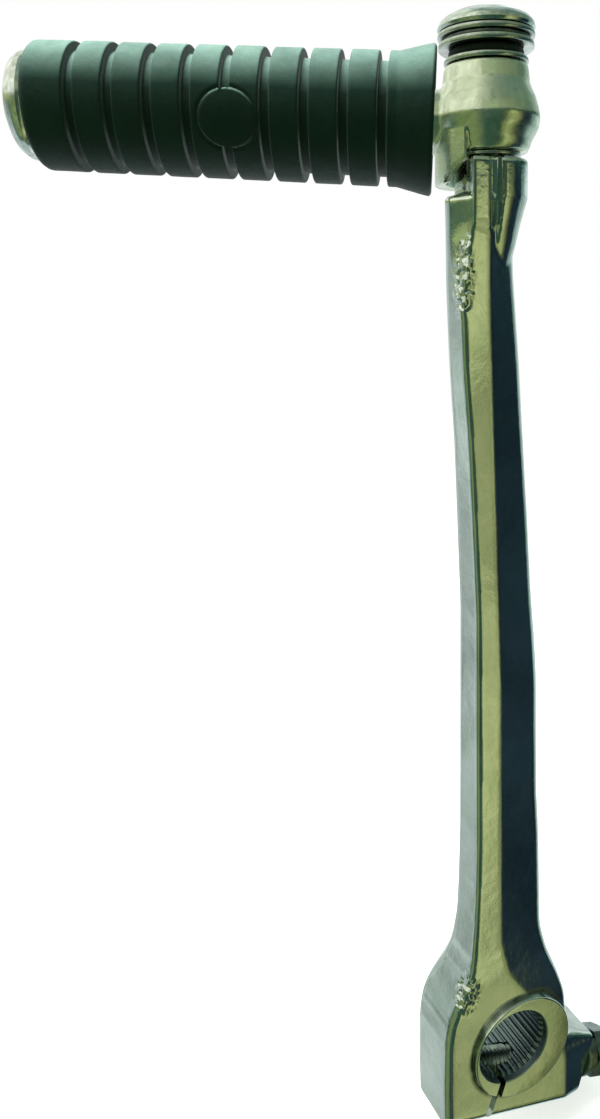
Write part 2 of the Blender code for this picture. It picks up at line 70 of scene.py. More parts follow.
# Pivot and pedal
PIVOT = (-2.3, 0.6)
PEDAL_Z = 217.6
PIN_R = 4.0
PIN_FOOT = 188.0
PIN_HOLE_R = PIN_R + 0.3
LOCK_Z = 193.0
LOCK_HOLE_R = 1.55
SEAT_Z = 211.0
CORE_R = 6.4
ARM_TOP = 203.8
NECK_TOP = 228.0
PEDAL_YAW = math.radians(151.8)
PEDAL_RISE = math.radians(3.3)
PEDAL_SWING = math.radians(61.5)
SHAFT_R = 5.8
SHAFT_END = 90.0
DIMPLE_R = 1.9
RUBBER_START = 11.4
RUBBER_END = 89.8
RUBBER_IN = 6.1
RUBBER_R = 12.45
TAPER = 0.55
GROOVE_R = 10.6
GROOVE_FIRST = 20.4
GROOVE_PITCH = 7.49
GROOVE_HALF = 1.0
DISC_S = 49.8
DISC_R = 5.4
DISC_TURN = math.radians(76.0)

VOXEL = 0.4


# ---------------------------------------------------------------- shapes

def fillet(points, radii, steps=6, closed=True):
    """Outline in the plane with its corners turned into arcs of the given radii."""
    count = len(points)
    made = []
    for i, point in enumerate(points):
        p = Vector(point)
        if not closed and i in (0, count - 1):
            made.append(tuple(p))
            continue
        a, b = Vector(points[i - 1]), Vector(points[(i + 1) % count])
        to_a, to_b = (a - p), (b - p)
        room = 0.49 * min(to_a.length, to_b.length)
        to_a.normalize()
        to_b.normalize()
        inner = to_a.angle(to_b, math.pi)
        reach = min(radii[i] / max(math.tan(inner / 2), 1e-6), room)
        if reach < 1e-6:
            made.append(tuple(p))
            continue
        start, end = p + to_a * reach, p + to_b * reach
        weight = math.sin(inner / 2)
        for k in range(steps + 1):
            t = k / steps
            u = 1.0 - t
            scale = u * u + 2 * u * t * weight + t * t
            made.append(tuple((start * (u * u) + p * (2 * u * t * weight) + end * (t * t)) / scale))
    return made


def grid_object(name, rows, close_rows=True, cap=True):
    """Skins rows of points, all of the same length. Each row is a closed ring."""
    bm = bmesh.new()
    rings = [[bm.verts.new((x * MM, y * MM, z * MM)) for x, y, z in row] for row in rows]
    count = len(rings[0])
    for low, high in zip(rings, rings[1:]):
        for i in range(count if close_rows else count - 1):
            j = (i + 1) % count
            bm.faces.new((low[i], low[j], high[j], high[i]))
    if cap:
        bm.faces.new(rings[0][::-1])
        bm.faces.new(rings[-1])
    return bmesh_object(name, bm)


def bmesh_object(name, bm):
    """Object from a bmesh, with stray doubles merged and its faces turned outwards."""
    bmesh.ops.remove_doubles(bm, verts=bm.verts, dist=1e-7)
    bmesh.ops.recalc_face_normals(bm, faces=bm.faces)
    mesh = bpy.data.meshes.new(name)
    bm.to_mesh(mesh)
    bm.free()
    obj = bpy.data.objects.new(name, mesh)
    bpy.context.scene.collection.objects.link(obj)
    return obj


def revolve(name, profile, matrix=None, segments=128, closed=False):
    """Turns (radius, height) points about local Z. An open profile starts and ends on the axis."""
    bm = bmesh.new()
    rings = []
    for radius, height in profile:
        if radius < 1e-6:
            rings.append([bm.verts.new((0.0, 0.0, height * MM))] * segments)
            continue
        angles = [2.0 * math.pi * i / segments for i in range(segments)]
        rings.append([bm.verts.new((radius * MM * math.cos(a), radius * MM * math.sin(a), height * MM))
                      for a in angles])
    pairs = list(zip(rings, rings[1:]))
    if closed:
        pairs.append((rings[-1], rings[0]))
    for low, high in pairs:
        for i in range(segments):
            j = (i + 1) % segments
            corners = []
            for corner in (low[i], low[j], high[j], high[i]):
                if corner not in corners:
                    corners.append(corner)
            if len(corners) > 2:
                bm.faces.new(corners)
    obj = bmesh_object(name, bm)
    if matrix is not None:
        obj.data.transform(matrix)
    return obj


def outline_prism(name, points, low, high, axis="Z"):
    """Prism of a plane outline along Z, or along Y with points given as (x, z)."""
    if axis == "Y":
        rows = [[(x, level, z) for x, z in points] for level in (low, high)]
    else:
        rows = [[(x, y, level) for x, y in points] for level in (low, high)]
    return grid_object(name, rows)


def take_mesh(obj):
    """Replaces the object's mesh with its evaluated one and clears the modifiers."""
    bpy.context.view_layer.update()
    graph = bpy.context.evaluated_depsgraph_get()
    mesh = bpy.data.meshes.new_from_object(obj.evaluated_get(graph))
    obj.modifiers.clear()
    obj.data = mesh
    return obj


def join(objs):
    """Joins objects' meshes into the first one."""
    bm = bmesh.new()
    for obj in objs:
        bm.from_mesh(obj.data)
    bm.to_mesh(objs[0].data)
    bm.free()
    for obj in objs[1:]:
        bpy.data.objects.remove(obj)
    return objs[0]


def forge(obj, voxel=VOXEL, passes=4, factor=0.5):
    """Melts overlapping shells into one skin with small fillets, as a forging has."""
    remesh = obj.modifiers.new("Melt", "REMESH")
    remesh.mode = "VOXEL"
    remesh.voxel_size = voxel * MM
    remesh.adaptivity = 0.0
    soften = obj.modifiers.new("Soften", "SMOOTH")
    soften.factor = factor
    soften.iterations = passes
    return take_mesh(obj)


def carve(obj, cutters, operation="DIFFERENCE"):
    """Cuts or adds solids one after the other, then removes them."""
    for cutter in cutters:
        mod = obj.modifiers.new("Carve", "BOOLEAN")
        mod.operation = operation
        mod.solver = "MANIFOLD"
        mod.object = cutter
        take_mesh(obj)
        bpy.data.objects.remove(cutter)
    return obj


def finish_shading(obj, angle=32.0):
    """Smooth shading, with an edge left sharp where its faces turn by more than the angle."""
    obj.data.shade_smooth()
    obj.data.set_sharp_from_angle(angle=math.radians(angle))
    return obj


def clamp_point(across, up):
    """(x, z) of a point in the tilted frame of the pinch clamp."""
    c, s = math.cos(CLAMP_TILT), math.sin(CLAMP_TILT)
    return across * c + up * s, -across * s + up * c


def bolt_matrix():
    """Local Z runs along the pinch bolt to its head."""
    x, z = clamp_point(0.0, -BOLT_DROP)
    turn = Matrix.Rotation(math.radians(90.0) + CLAMP_TILT, 4, "Y")
    return Matrix.Translation((x * MM, BOLT_Y * MM, z * MM)) @ turn


def pivot_matrix():
    """Local Z is the pivot's axis, at its true height."""
    return Matrix.Translation((PIVOT[0] * MM, PIVOT[1] * MM, 0.0))


def pedal_matrix():
    """Local Z runs out along the pedal."""
    place = Matrix.Translation((PIVOT[0] * MM, PIVOT[1] * MM, PEDAL_Z * MM))
    return place @ Matrix.Rotation(PEDAL_YAW, 4, "Z") @ Matrix.Rotation(math.pi / 2 - PEDAL_RISE, 4, "Y")


def cross_matrix(z):
    """Local Z runs to the front, through the pivot axis."""
    return Matrix.Translation((PIVOT[0] * MM, PIVOT[1] * MM, z * MM)) @ Matrix.Rotation(math.pi / 2, 4, "X")


def sector(angle_from, angle_to, r_in, r_out, steps=24):
    """Outline of a ring sector, with its angles in degrees."""
    angles = [math.radians(angle_from + (angle_to - angle_from) * i / steps) for i in range(steps + 1)]
    outer = [(r_out * math.cos(a), r_out * math.sin(a)) for a in angles]
    inner = [(r_in * math.cos(a), r_in * math.sin(a)) for a in reversed(angles)]
    return outer + inner


# ---------------------------------------------------------------- lever arm

LEFT_EDGE = (
    # z, x of the left side of hub and arm
    (-30.0, -18.7), (-8.0, -18.9), (6.0, -18.6), (12.0, -17.6), (17.0, -15.2),
    (22.0, -12.2), (28.0, -10.9), (36.0, -10.2), (46.0, -9.6), (60.0, -9.2), (117.0, -8.9),
    (136.0, -9.6), (154.0, -10.3), (171.0, -11.4), (188.0, -12.1), (212.0, -12.4),
)
RIGHT_EDGE = (
    # z, x of the right side of lug, hub and arm
    (-36.0, 23.5), (-30.0, 25.4), (-13.2, 30.6), (-12.2, 30.6), (-8.6, 19.4), (0.0, 19.7), (6.0, 19.2),
    (13.0, 16.9), (20.0, 14.2), (27.0, 12.6), (42.0, 12.2), (54.0, 11.9), (66.0, 11.1), (97.0, 10.6),
    (107.0, 9.9), (117.0, 8.9), (136.0, 7.6), (154.0, 6.2), (171.0, 5.0), (188.0, 3.5), (196.0, 3.1),
    (212.0, 3.1),
)
FRONT_LEFT = (
    # z, x of the front edge on the left; it drifts off the side at the top of the arm
    (-30.0, 0.0), (171.0, 0.0), (184.0, 0.2), (198.0, 2.9), (212.0, 2.9),
)
FRONT_RIDGE = (
    # z, x where the narrow front flat turns into the wide right-hand slope
    (-30.0, 18.5), (-7.0, 17.5), (-1.0, 14.0), (8.0, 10.0), (14.0, 4.0), (21.0, -1.0), (30.0, -3.0),
    (97.0, -3.1), (154.0, -4.6), (184.0, -5.2), (212.0, -5.2),
)
FRONT_Y = (
    # z, y of the front flat
    (-30.0, -9.8), (20.0, -9.6), (30.0, -9.1), (54.0, -8.7), (97.0, -8.1), (136.0, -7.3), (171.0, -6.4),
    (188.0, -6.0), (212.0, -6.3),
)
SLOPE_Y = (
    # z, depth of the right-hand corner behind the front flat
    (-30.0, 2.5), (-9.0, 2.5), (2.0, 2.6), (10.0, 3.0), (20.0, 3.8), (97.0, 3.9), (188.0, 3.4), (212.0, 3.4),
)
BACK_Y = (
    # z, y of the back
    (-30.0, 7.5), (20.0, 7.3), (30.0, 6.7), (97.0, 6.3), (154.0, 5.8), (188.0, 6.1), (196.0, 6.5),
    (212.0, 7.8),
)
LEFT_REAR_Y = (
    # z, y where the left side turns into the rear bevel
    (-30.0, 5.6), (14.0, 5.6), (26.0, 2.5), (36.0, 0.6), (212.0, 0.6),
)


def smooth_curve(table, span=3.5):
    """Function of z through a table's points, with its corners eased over the span."""
    zs = np.array([p[0] for p in table])
    vs = np.array([p[1] for p in table])
    offsets = np.linspace(-span, span, 15)
    weights = np.cos(offsets / span * math.pi / 2) ** 2
    weights /= weights.sum()
    return lambda z: float(np.dot(np.interp(z + offsets, zs, vs), weights))


def lean(x, tilt):
    """Drop of a tilted ring at x; the left end of the hub stays nearly level."""
    return tilt * max(x, -6.0) + 0.2 * tilt * min(x + 6.0, 0.0)


def arm_ring(z_mid, tilt, curves, shrink, front_shrink):
    """Ring of the forging whose plane is tilted with the clamp low down. Corners run anticlockwise."""
    left, right, front_left, ridge, front, slope, back, rear = curves

    def at(curve, x):
        return curve(z_mid - lean(x, tilt))

    x_left, x_right = -10.0, 10.0
    for _ in range(8):  # a side's x depends on its own height on the tilted ring
        x_left = at(left, x_left)
        x_right = at(right, x_right)
    hub = min(1.0, max(0.0, (30.0 - z_mid) / 16.0))
    y_front, y_back = at(front, 0.0) + front_shrink, at(back, 0.0) - shrink
    x_left += shrink
    x_right -= shrink
    y_slope = y_front + at(slope, 10.0)
    x_ridge = min(at(ridge, 0.0), x_right - 2.0)
    y_rear = min(at(rear, 0.0), y_back - 1.5)
    back_cut = 5.4 - 3.4 * hub
    corners = [
        ((x_left + at(front_left, x_left), y_front), 0.9 + 0.9 * hub),
        ((x_ridge, y_front - 0.05), 3.0),
        ((x_right, y_slope), 4.2 - 1.6 * hub),
        ((x_right, y_back - 3.6 + 1.8 * hub), 3.0 - hub),
        ((x_right - back_cut, y_back), 3.0 - hub),
        ((x_left + back_cut, y_back), 3.0 - hub),
        ((x_left, y_rear), 3.0 - hub),
    ]
    outline = fillet([c[0] for c in corners], [c[1] for c in corners], steps=10)
    return [(x, y, z_mid - lean(x, tilt)) for x, y in outline]


def build_arm():
    """Arm, hub, pivot seat, rib and ear melted into one forging, then the collar and the cuts."""
    curves = [smooth_curve(t) for t in (LEFT_EDGE, RIGHT_EDGE, FRONT_LEFT, FRONT_RIDGE, FRONT_Y, SLOPE_Y,
                                        BACK_Y, LEFT_REAR_Y)]
    rows = []
    levels = [HUB_FLOOR + FRONT_ROUND * (1.0 - math.cos(math.radians(a))) for a in range(0, 91, 9)]
    even = int(ARM_TOP - 1.0 - HUB_FLOOR - FRONT_ROUND)
    levels += [HUB_FLOOR + FRONT_ROUND + 1.0 * i for i in range(1, even)]
    levels += [ARM_TOP - below for below in (1.0, 0.6, 0.3, 0.1, 0.0)]
    for z in levels:
        above = z - HUB_FLOOR
        shrink, front_shrink = 0.0, 0.0
        if above < 1.6:
            shrink = 1.6 - math.sqrt(1.6 ** 2 - (1.6 - above) ** 2)
        if above < FRONT_ROUND:
            front_shrink = FRONT_ROUND - math.sqrt(FRONT_ROUND ** 2 - (FRONT_ROUND - above) ** 2)
        if ARM_TOP - z < 1.0:
            shrink = 1.0 - math.sqrt(max(0.0, 1.0 - (1.0 - ARM_TOP + z) ** 2))
            front_shrink = shrink
        share = min(1.0, max(0.0, (HUB_TOP - z) / (HUB_TOP - HUB_FLOOR - 12.0)))
        tilt = math.tan(CLAMP_TILT) * share
        rows.append(arm_ring(z, tilt, curves, min(shrink, 1.5), min(front_shrink, 4.05)))
    arm = grid_object("lever_arm_skin", rows)

    core = revolve("seat", [(0.0, 196.0), (CORE_R - 0.4, 196.0), (CORE_R, 200.0), (CORE_R, SEAT_Z - 0.3),
                            (CORE_R - 0.3, SEAT_Z), (0.0, SEAT_Z)], pivot_matrix(), 96)
    rib = []
    for z, inset in ((190.0, 2.5), (194.0, 1.0), (199.0, 0.0), (210.2, 0.0), (210.5, 0.15), (210.65, 0.45)):
        rib.append([(-9.5 + inset * 0.3, -6.5 + inset, z), (-5.3, -6.7 + inset, z), (-4.9, -3.0, z),
                    (-7.5, 0.0, z)])
    rib = grid_object("rib", rib)
    ear = []
    for z, r_out in ((190.5, 5.2), (194.0, 6.2), (198.0, 7.1), (201.2, 8.0), (203.2, 8.6), (210.2, 8.6),
                     (210.5, 8.45), (210.65, 8.1)):
        ear.append([(x + PIVOT[0], y + PIVOT[1], z) for x, y in sector(262.0, 374.0, 3.0, r_out)])
    ear = grid_object("ear", ear)
    join([arm, core, rib, ear])
    forge(arm)
    roughen(arm)

    long = 10.3
    ring = fillet([(0.0, 0.0), (COLLAR_R, 0.0), (COLLAR_R, long), (0.0, long)], [0, 0, 0.45, 0], closed=False)
    foot = Matrix.Translation((COLLAR_AT[0] * MM, (COLLAR_FRONT + long) * MM, COLLAR_AT[1] * MM))
    collar = revolve("collar", ring, foot @ Matrix.Rotation(math.pi / 2, 4, "X"))
    carve(arm, [collar], "UNION")
    carve(arm, arm_cutters())
    return finish_shading(arm, 30.0)


def roughen(arm):
    """Coarse casting skin left under the plating in two patches of the forging."""
    patches = (
        # centre, half length, half width, height of the grain
        (Vector((-11.4, -5.4, 188.0)) * MM, Vector((2.0, 2.4, 6.4)) * MM, 0.42),
        (Vector((-13.0, -9.4, 20.0)) * MM, Vector((3.0, 3.0, 4.8)) * MM, 0.55),
    )
    mesh = arm.data
    normals = [v.normal.copy() for v in mesh.vertices]
    for v, n in zip(mesh.vertices, normals):
        for centre, half, height in patches:
            d = v.co - centre
            reach = math.sqrt(sum((d[k] / half[k]) ** 2 for k in range(3)))
            if reach < 1.4:
                fade = min(1.0, (1.4 - reach) / 0.5)
                grain = noise.noise(v.co / MM * 0.85) + 0.6 * noise.noise(v.co / MM * 1.9)
                v.co += n * grain * height * fade * MM


def arm_cutters():
    """Everything that is cut from the arm: stop notch, pivot holes, splined bore, slot and clamp."""
    notch = outline_prism("notch", [(x + PIVOT[0], y + PIVOT[1]) for x, y in
                                    sector(245.0, 264.5, 6.5, 14.0, 4)], 202.5, 215.0)
    floor = PIN_FOOT - 0.3
    hole = revolve("pin_hole", [(0.0, floor), (PIN_HOLE_R, floor), (PIN_HOLE_R, 220.0), (0.0, 220.0)],
                   pivot_matrix(), 64)
    cross = revolve("cross_hole", [(0.0, -20.0), (LOCK_HOLE_R, -20.0), (LOCK_HOLE_R, 4.9), (0.0, 4.9)],
                    cross_matrix(LOCK_Z), 32)
    rows = []
    per_tooth = (BORE_MINOR, BORE_MINOR + 0.12, BORE_MAJOR, BORE_MAJOR, BORE_MINOR + 0.12, BORE_MINOR)
    count = BORE_TEETH * len(per_tooth)
    stations = (
        # depth along the bore, 0 splined, 1 plain lead-in, 2 chamfer at the mouth
        (HUB_BACK + 2.0, 0), (HUB_FRONT + 1.2, 0), (HUB_FRONT + 0.3, 1), (COLLAR_FRONT + 0.35, 1),
        (COLLAR_FRONT - 0.2, 2), (COLLAR_FRONT - 2.0, 2),
    )
    for y, lead in stations:
        ring = []
        for i in range(count):
            radius = (per_tooth[i % len(per_tooth)], BORE_MAJOR + 0.05, BORE_MAJOR + 0.65)[lead]
            angle = 2.0 * math.pi * i / count
            ring.append((radius * math.cos(angle), y, radius * math.sin(angle)))
        rows.append(ring)
    bore = grid_object("bore", rows)
    half = SLOT_W / 2.0
    slot = [clamp_point(*p) for p in ((-half, -4.0), (half, -4.0), (half, -34.0), (-half, -34.0))]
    slot = outline_prism("slot", slot, -16.0, 14.0, "Y")
    wide, blind, far = BOLT_R + 0.3, BOLT_START - 0.4, 50.0
    bolt = [(0.0, blind - 2.0), (wide, blind), (wide, far), (0.0, far)]
    bolt = revolve("bolt_hole", bolt, bolt_matrix(), 64)
    face = [(0.0, LUG_END), (15.0, LUG_END), (15.0, far), (0.0, far)]
    face = revolve("lug_face", face, bolt_matrix(), 64)
    return [notch, hole, cross, bore, slot, bolt, face]


# ---------------------------------------------------------------- knuckle

def build_knuckle():
    """Barrel, hanging skirt and neck melted into one forging, with the plain pedal shaft on it."""
    barrel = fillet([(0.0, 211.9), (8.3, 211.9), (8.9, 212.9), (9.2, 214.0), (10.6, 216.4), (10.9, 218.4),
                     (10.5, 220.4), (10.0, 222.0), (9.1, 223.9), (8.75, 224.7), (8.35, NECK_TOP),
                     (0.0, NECK_TOP)],
                    [0, 0.5, 1.5, 1.5, 3, 3, 4, 4, 1.0, 0.6, 0.6, 0], closed=False)
    body = revolve("pedal_knuckle_skin", barrel, pivot_matrix(), 160)
    rows = []
    steps = 40
    start, stop = 84.6, 217.0
    for i in range(steps + 1):
        angle = start + (stop - start) * i / steps
        rise = max(0.0, (angle - 180.0) / (stop - 180.0))
        low = 205.9 + 4.2 * rise
        c, s = math.cos(math.radians(angle)), math.sin(math.radians(angle))
        section = [(8.1, low + 0.5), (8.1, 215.0), (10.4, 217.0), (10.4, low)]
        rows.append([(r * c + PIVOT[0], r * s + PIVOT[1], z) for r, z in section])
    skirt = grid_object("skirt", rows)
    neck = [(0.0, 3.0), (5.9, 3.0), (5.9, 10.0), (5.9, 12.6), (0.0, 12.6)]
    neck = revolve("neck", neck, pedal_matrix(), 96)
    join([body, skirt, neck])
    forge(body, 0.3, 5)
    shaft = revolve("shaft", [(0.0, 12.0), (SHAFT_R, 12.0), (SHAFT_R, SHAFT_END - 0.5),
                              (SHAFT_R - 0.5, SHAFT_END), (0.0, SHAFT_END)], pedal_matrix(), 96)
    carve(body, [shaft], "UNION")
    bore = revolve("bore", [(0.0, 205.0), (PIN_HOLE_R, 205.0), (PIN_HOLE_R, 235.0), (0.0, 235.0)],
                   pivot_matrix(), 64)
    pocket = revolve("pocket", [(0.0, 0.0), (1.95, 0.0), (1.95, 20.0), (0.0, 20.6)], pedal_matrix(), 32)
    carve(body, [bore, pocket])
    return finish_shading(body, 35.0)


# ---------------------------------------------------------------- foot rubber

def rubber_profile():
    """(s, r) along the outside, from the flared flange out to the free end."""
    points = [(RUBBER_START, RUBBER_IN), (RUBBER_START - 1.0, 13.3), (RUBBER_START - 0.6, 14.0),
              (RUBBER_START + 1.4, 13.6), (RUBBER_START + 6.2, RUBBER_R)]
    radii = [0.3, 0.3, 0.5, 2.0, 1.5]
    for i in range(9):
        at = GROOVE_FIRST + GROOVE_PITCH * i
        points += [(at - GROOVE_HALF, RUBBER_R), (at - GROOVE_HALF + 0.1, GROOVE_R),
                   (at + GROOVE_HALF - 0.1, GROOVE_R), (at + GROOVE_HALF, RUBBER_R)]
        radii += [0.35, 0.3, 0.3, 0.35]
    points += [(RUBBER_END, RUBBER_R), (RUBBER_END, RUBBER_IN)]
    radii += [1.4, 0.3]
    return fillet(points, radii, steps=4, closed=True)


def fine_steps(outline, step):
    """Adds points so that no stretch of a closed outline is longer than the step."""
    made = []
    for a, b in zip(outline, outline[1:] + outline[:1]):
        length = math.dist(a, b)
        parts = max(1, math.ceil(length / step))
        for k in range(parts):
            t = k / parts
            made.append((a[0] + (b[0] - a[0]) * t, a[1] + (b[1] - a[1]) * t))
    return made


def build_rubber():
    """Foot rubber skinned from its outline, with the disc and a slight unevenness in its surface."""
    outline = fine_steps(rubber_profile(), 0.28)
    segments = 288
    bm = bmesh.new()
    rings = []
    for s, r in outline:
        ring = []
        for i in range(segments):
            angle = 2.0 * math.pi * i / segments
            radius = r
            if r > GROOVE_R - 0.01:
                radius = disc_radius(s, angle, r) - TAPER * max(0.0, s - 16.0) / 74.0
                wave = noise.noise(Vector((s * 0.11, math.cos(angle) * 1.1, math.sin(angle) * 1.1)))
                radius += 0.09 * wave
            across, over = radius * MM * math.cos(angle), radius * MM * math.sin(angle)
            ring.append(bm.verts.new((across, over, s * MM)))
        rings.append(ring)
    for low, high in zip(rings, rings[1:] + rings[:1]):
        for i in range(segments):
            j = (i + 1) % segments
            bm.faces.new((low[i], low[j], high[j], high[i]))
    obj = bmesh_object("foot_rubber", bm)
    obj.data.transform(pedal_matrix())
    return finish_shading(obj, 50.0)


def disc_radius(s, angle, r):
    """Round plain disc moulded flush across the ribs, with a thin line around it."""
    turn = (angle - DISC_TURN + math.pi) % (2.0 * math.pi) - math.pi
    away = math.hypot(s - DISC_S, turn * RUBBER_R)
    dome = RUBBER_R + 0.15
    ring = 0.5 - 0.5 * math.cos(math.pi * min(1.0, max(0.0, (DISC_R + 0.5 - away) / 0.5)))
    moat = math.exp(-((away - DISC_R - 0.35) / 0.28) ** 2)
    return r + (dome - r) * ring - 0.4 * moat * (1.0 if r > GROOVE_R + 0.6 else 0.0)


# ---------------------------------------------------------------- turned pieces

def washer(name, inner, outer, low, high, matrix, soft=0.2):
    """Flat ring between two levels, with soft outer edges."""
    points = [(inner, low), (outer, low), (outer, high), (inner, high)]
    profile = fillet(points, [soft * 0.5, soft, soft, soft * 0.5], steps=5)
    return finish_shading(revolve(name, profile, matrix, 160, closed=True))


def build_pin():
    """Pivot pin with its domed head, its cross hole and a dimple for the ball at each end of the swing."""
    profile = fillet([(0.0, PIN_FOOT), (PIN_R, PIN_FOOT), (PIN_R, 234.0), (9.45, 234.0), (9.65, 234.6),
                      (9.5, 235.4), (8.7, 236.2), (7.0, 237.1), (4.8, 237.9), (2.4, 238.5), (0.0, 238.7)],
                     [0, 0.5, 0.2, 0.25, 0.4, 1.0, 2, 3, 4, 4, 0], steps=5, closed=False)
    pin = revolve("pivot_pin_turned", profile, pivot_matrix(), 160)
    cross = revolve("pin_cross", [(0.0, -8.0), (LOCK_HOLE_R, -8.0), (LOCK_HOLE_R, 8.0), (0.0, 8.0)],
                    cross_matrix(LOCK_Z), 32)
    turns = [math.radians(a) for a in range(9, 180, 9)]
    arc = [(DIMPLE_R * math.sin(a), -DIMPLE_R * math.cos(a)) for a in turns]
    ball = [(0.0, -DIMPLE_R)] + arc + [(0.0, DIMPLE_R)]
    beside = Matrix.Translation(((PIN_R + 0.9) * MM, 0.0, 0.3 * MM))
    dimples = []
    for swing in (0.0, -PEDAL_SWING):
        at = Matrix.Translation((PIVOT[0] * MM, PIVOT[1] * MM, PEDAL_Z * MM))
        at = at @ Matrix.Rotation(PEDAL_YAW + swing, 4, "Z")
        dimples.append(revolve("dimple", ball, at @ beside, 32))
    carve(pin, [cross] + dimples)
    return finish_shading(pin)


def build_end_cap():
    """Low dome that closes the free end of the pedal."""
    profile = fillet([(0.0, 90.1), (9.8, 90.1), (10.2, 90.8), (10.1, 92.0), (9.0, 93.6), (6.2, 95.0),
                      (3.0, 95.7), (0.0, 95.85)], [0, 0.3, 0.4, 1.2, 2.5, 4, 4, 0], steps=6, closed=False)
    return finish_shading(revolve("end_cap", profile, pedal_matrix(), 160))


def build_bolt():
    """M8 bolt with a rolled thread and a chamfered hexagon head."""
    angles = [2.0 * math.pi * i / 48 for i in range(48)]
    rows = []
    level = BOLT_START
    while level < BOLT_THREAD_END:
        ring = []
        for angle in angles:
            phase = (level / BOLT_PITCH - angle / (2.0 * math.pi)) % 1.0
            crest = min(1.0, max(0.0, 1.6 * (0.5 - abs(phase - 0.5)) * 1.25))
            fade = min(1.0, (level - BOLT_START) / 1.0, (BOLT_THREAD_END - level) / 1.5)
            point = 0.6 * max(0.0, 1.0 - (level - BOLT_START) / 0.8)
            radius = BOLT_R - 0.62 * crest * fade - point
            ring.append((radius * math.cos(angle), radius * math.sin(angle), level))
        rows.append(ring)
        level += BOLT_PITCH / 8.0
    for level in (BOLT_THREAD_END, HEAD_SEAT + 0.2):
        rows.append([(BOLT_R * math.cos(a), BOLT_R * math.sin(a), level) for a in angles])
    bolt = grid_object("hex_bolt", rows)
    bolt.data.transform(bolt_matrix())
    corner = HEAD_FLATS / math.sqrt(3.0)
    turns = [math.radians(60 * i + 12) for i in range(6)]
    hexagon = fillet([(corner * math.cos(a), corner * math.sin(a)) for a in turns], [0.35] * 6, steps=4)
    top = HEAD_SEAT + HEAD_HEIGHT
    head = outline_prism("head", hexagon, HEAD_SEAT, top)
    head.data.transform(bolt_matrix())
    crown = fillet([(0.0, HEAD_SEAT - 0.6), (8.4, HEAD_SEAT - 0.6), (8.4, top - 1.2), (5.8, top), (0.0, top)],
                   [0, 0, 0.4, 0.6, 0], closed=False)
    carve(head, [revolve("crown", crown, bolt_matrix(), 96)], "INTERSECT")
    carve(bolt, [head], "UNION")
    return finish_shading(bolt, 28.0)


def build_split_washer():
    """Spring washer under the bolt's head, with a slanted gap."""
    low = LUG_END + 1.8
    ring = washer("split_washer", 4.35, 6.2, low, low + 1.65, bolt_matrix(), 0.15)
    gap = outline_prism("gap", [(0.0, low - 1.0), (9.0, low - 1.0), (9.6, low + 2.5), (0.6, low + 2.5)],
                        -0.5, 0.5, "Y")
    gap.data.transform(bolt_matrix() @ Matrix.Rotation(math.radians(200.0), 4, "Z"))
    carve(ring, [gap])
    return finish_shading(ring)


# ---------------------------------------------------------------- materials

class Shader:
    """Small helper around one material's node tree."""

    def __init__(self, name):
        self.mat = bpy.data.materials.new(name)
        self.mat.use_nodes = True
        self.tree = self.mat.node_tree
        self.surface = self.tree.nodes["Principled BSDF"]
        self.place = self.node("ShaderNodeTexCoord").outputs["Object"]

    def node(self, kind, **values):
        made = self.tree.nodes.new(kind)
        for key, value in values.items():
            if hasattr(made, key):
                setattr(made, key, value)
            else:
                made.inputs[key.replace("_", " ")].default_value = value
        return made

    def link(self, a, b):
        self.tree.links.new(a, b)

    def grain(self, scale, detail=4.0, roughness=0.55, distortion=0.0, kind="ShaderNodeTexNoise"):
        made = self.node(kind, Scale=scale, Detail=detail, Roughness=roughness, Distortion=distortion)
        self.link(self.place, made.inputs["Vector"])
        return made.outputs["Fac"]

    def spread(self, value, low, high, to_low=0.0, to_high=1.0):
        made = self.node("ShaderNodeMapRange")
        for key, number in (("From Min", low), ("From Max", high), ("To Min", to_low), ("To Max", to_high)):
            made.inputs[key].default_value = number
        self.link(value, made.inputs["Value"])
        return made.outputs["Result"]

    def mix(self, share, first, second):
        made = self.node("ShaderNodeMix", data_type="RGBA")
        for value, name in ((share, "Factor"), (first, "A"), (second, "B")):
            socket = [s for s in made.inputs if s.name == name and s.type in ("VALUE", "RGBA")]
            socket = [s for s in socket if s.enabled][0]
            if isinstance(value, (tuple, float)):
                socket.default_value = (*value, 1.0) if isinstance(value, tuple) else value
            else:
                self.link(value, socket)
        return [s for s in made.outputs if s.enabled][0]

    def bump(self, height, distance, strength=1.0, before=None):
        made = self.node("ShaderNodeBump", Strength=strength, Distance=distance)
        self.link(height, made.inputs["Height"])
        if before is not None:
            self.link(before, made.inputs["Normal"])
        return made.outputs["Normal"]


